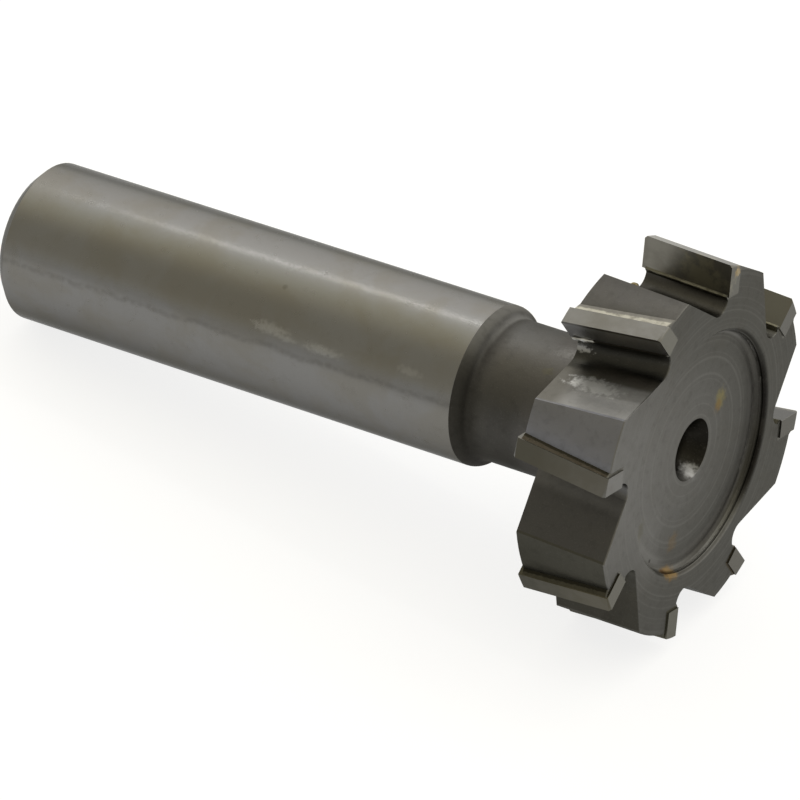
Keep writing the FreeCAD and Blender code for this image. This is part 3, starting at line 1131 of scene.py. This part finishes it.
# The room's light by its angle over the cutter, from the front wall's foot to the back wall's foot
ROOM_LIGHT = (
    (0.000, (0.63, 0.62, 0.54)),
    (0.035, (0.58, 0.55, 0.46)),
    (0.080, (0.525, 0.495, 0.405)),
    (0.240, (0.515, 0.490, 0.405)),
    (0.310, (0.58, 0.545, 0.44)),
    (0.400, (0.77, 0.72, 0.56)),
    (0.473, (0.95, 0.91, 0.73)),
    (0.550, (1.15, 1.11, 0.96)),
    (0.600, (1.32, 1.30, 1.20)),
    (0.680, (1.45, 1.43, 1.36)),
    (0.820, (1.42, 1.38, 1.31)),
    (0.900, (1.45, 1.42, 1.36)),
    (1.000, (1.45, 1.43, 1.37)),
)


@dataclass(frozen=True)
class Studio:
    """Pale paper floor, the room's light and one strip lamp."""

    reach: float = 3.0
    paper: Colour = (0.25, 0.25, 0.248)
    paper_roughness: float = 0.9
    camera_glow: float = 0.80
    mirror_glow: float = 0.62
    far_glow: float = 0.36
    near_edge: float = -0.050
    far_edge: float = -0.085
    strip_angle: float = math.radians(116.5)
    strip_distance: float = 1.2
    strip_size: tuple[float, float] = (2.4, 0.045)
    strip_power: float = 2.6
    strip_colour: Colour = (1.0, 0.99, 0.97)

    def build(self) -> None:
        """Makes the floor, the world and the lamp."""
        self.floor()
        self.room()
        self.strip()

    def floor(self) -> None:
        """Makes the flat paper floor under the cutter."""
        mesh = bmesh.new()
        bmesh.ops.create_grid(mesh, x_segments=1, y_segments=1, size=self.reach)
        floor = add_object("studio_floor", mesh, self.paper_material())

    def paper_material(self) -> bpy.types.Material:
        """White paper whose own tone is added for the camera and for mirrored rays.

        Returns:
            The paper's material.
        """
        material, graph = start_material("studio_paper")
        paper = graph.node("BsdfPrincipled", {
            "Base Color": (*self.paper, 1.0), "Roughness": self.paper_roughness,
            "Specular IOR Level": 0.0})
        across = graph.apart(graph.node("TexCoord", {}).outputs["Object"])[1]
        nearness = graph.step(across, self.far_edge, self.near_edge)
        mirrored = graph.spread(nearness, self.far_glow, self.mirror_glow)
        path = graph.node("LightPath", {}).outputs
        seen = graph.math("ADD", path["Is Glossy Ray"], path["Is Transmission Ray"], clamp=True)
        strength = graph.total(graph.product(path["Is Camera Ray"], self.camera_glow),
                               graph.product(seen, mirrored))
        glow = graph.node("Emission", {"Strength": strength})
        both = graph.node("AddShader", {0: paper.outputs[0], 1: glow.outputs[0]})
        graph.node("OutputMaterial", {"Surface": both.outputs[0]})
        return material

    def room(self) -> None:
        """World: a dim warm front wall, a brighter ceiling and a bright back wall."""
        world = bpy.data.worlds.new("studio_room")
        bpy.context.scene.world = world
        world.use_nodes = True
        graph = Graph(world.node_tree)
        _, depth, height = graph.apart(graph.node("TexCoord", {}).outputs["Generated"])
        angle = graph.math("ARCTAN2", height, graph.math("MULTIPLY", depth, -1.0))
        light = graph.ramp(graph.math("DIVIDE", angle, math.pi, clamp=True), ROOM_LIGHT)
        lit = graph.node("Background", {"Color": light, "Strength": 1.0})
        white = graph.node("Background", {"Color": (1.0, 1.0, 1.0, 1.0), "Strength": 1.0})
        camera_ray = graph.node("LightPath", {}).outputs["Is Camera Ray"]
        chosen = graph.node("MixShader", {0: camera_ray, 1: lit.outputs[0], 2: white.outputs[0]})
        graph.node("OutputWorld", {"Surface": chosen.outputs[0]})

    def strip(self) -> None:
        """Long narrow lamp over the cutter, a little behind it."""
        lamp = bpy.data.lights.new("strip_lamp", "AREA")
        lamp.shape = "RECTANGLE"
        lamp.size, lamp.size_y = self.strip_size
        lamp.energy = self.strip_power
        lamp.color = self.strip_colour
        place = Vector((0, -math.cos(self.strip_angle), math.sin(self.strip_angle)))
        strip = bpy.data.objects.new("strip_lamp", lamp)
        strip.matrix_world = (Matrix.Translation(place * self.strip_distance)
                              @ Matrix.Rotation(self.strip_angle - math.pi / 2, 4, "X"))
        bpy.context.scene.collection.objects.link(strip)


@dataclass(frozen=True)
class PhotoView:
    """The camera, as the photograph was taken: azimuth 0 looks along +Y, and roll leans it right."""

    azimuth: float = math.radians(28.048)
    elevation: float = math.radians(36.059)
    roll: float = math.radians(-8.172)
    distance: float = 0.79487
    aim: Place = (0.006368, -0.002894, 0.013040)
    lens: float = 313.3
    sensor: float = 36.0
    clip: Limits = (0.05, 20.0)

    def build(self) -> None:
        """Makes the camera and sets it as the scene's."""
        data = bpy.data.cameras.new("photo_camera")
        data.lens, data.sensor_width = self.lens, self.sensor
        data.clip_start, data.clip_end = self.clip
        camera = bpy.data.objects.new("photo_camera", data)
        flat = math.cos(self.elevation)
        back = Vector((math.sin(self.azimuth) * flat, -math.cos(self.azimuth) * flat,
                       math.sin(self.elevation)))
        level = (-back).to_track_quat("-Z", "Y").to_matrix().to_4x4()
        camera.matrix_world = (Matrix.Translation(Vector(self.aim) + back * self.distance)
                               @ level @ Matrix.Rotation(-self.roll, 4, "Z"))
        bpy.context.scene.collection.objects.link(camera)
        bpy.context.scene.camera = camera


def main() -> None:
    """Builds the stage, the camera and the cutter in order, and reports each piece."""
    logging.basicConfig(level=logging.INFO, format="%(name)s: %(message)s")
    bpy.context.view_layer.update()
    bpy.context.scene.view_settings.view_transform = "Standard"
    Studio().build()
    PhotoView().build()
    for piece in Cutter().build():
        LOG.info("%s is ready", piece.name)


if __name__ == "__main__":
    main()
